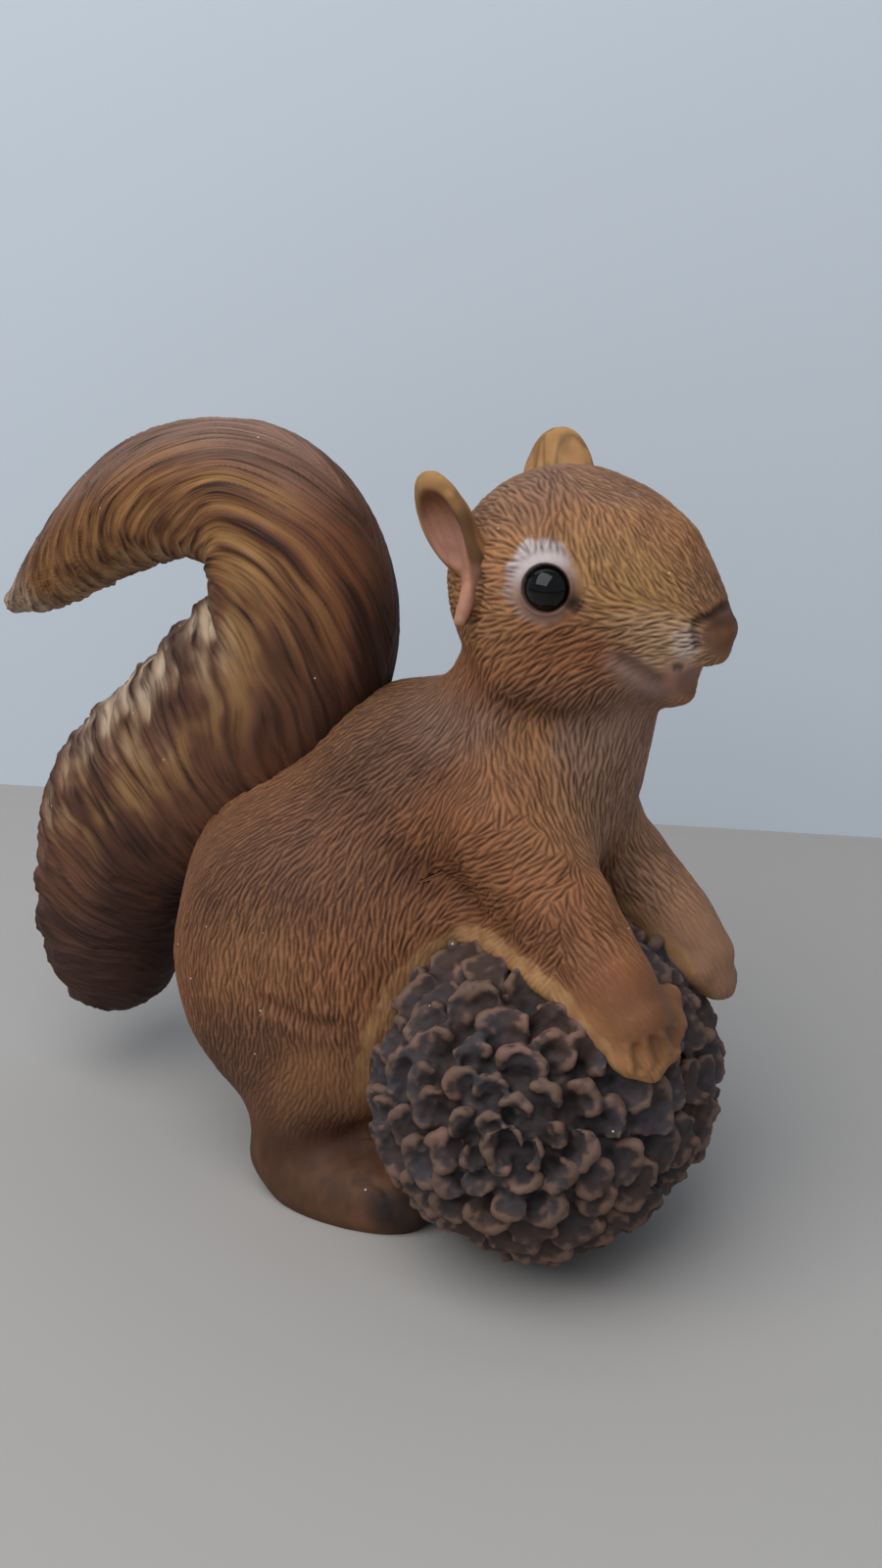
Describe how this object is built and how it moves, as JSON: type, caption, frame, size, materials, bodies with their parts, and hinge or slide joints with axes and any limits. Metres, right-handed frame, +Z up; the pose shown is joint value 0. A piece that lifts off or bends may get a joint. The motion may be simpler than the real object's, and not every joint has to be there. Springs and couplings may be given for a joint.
{
  "type": "figurine",
  "caption": "Painted cast-resin squirrel figurine that sits up and hugs a pine cone, with its tail curled over behind it.",
  "frame": {"origin": "on the ground plane, in the flat underside of the torso between the feet", "axes": "+X the way the squirrel looks, +Y towards its left side, +Z up"},
  "size_m": [0.1612, 0.0886, 0.145],
  "materials": {
    "fur_paint": "matt ochre and umber paint washed over incised fur",
    "tail_paint": "matt umber paint with light ridges",
    "cone_paint": "matt dark brown paint, dry-brushed on the scale edges",
    "eye_bead": "gloss black"
  },
  "bodies": {
    "root": {"torso": "fur_paint", "head": "fur_paint", "right_ear": "fur_paint", "left_ear": "fur_paint", "right_eye": "eye_bead", "left_eye": "eye_bead", "right_foreleg": "fur_paint", "left_foreleg": "fur_paint", "right_hind_leg": "fur_paint", "left_hind_leg": "fur_paint", "tail": "tail_paint", "pine_cone": "cone_paint"}
  },
  "joints": []
}
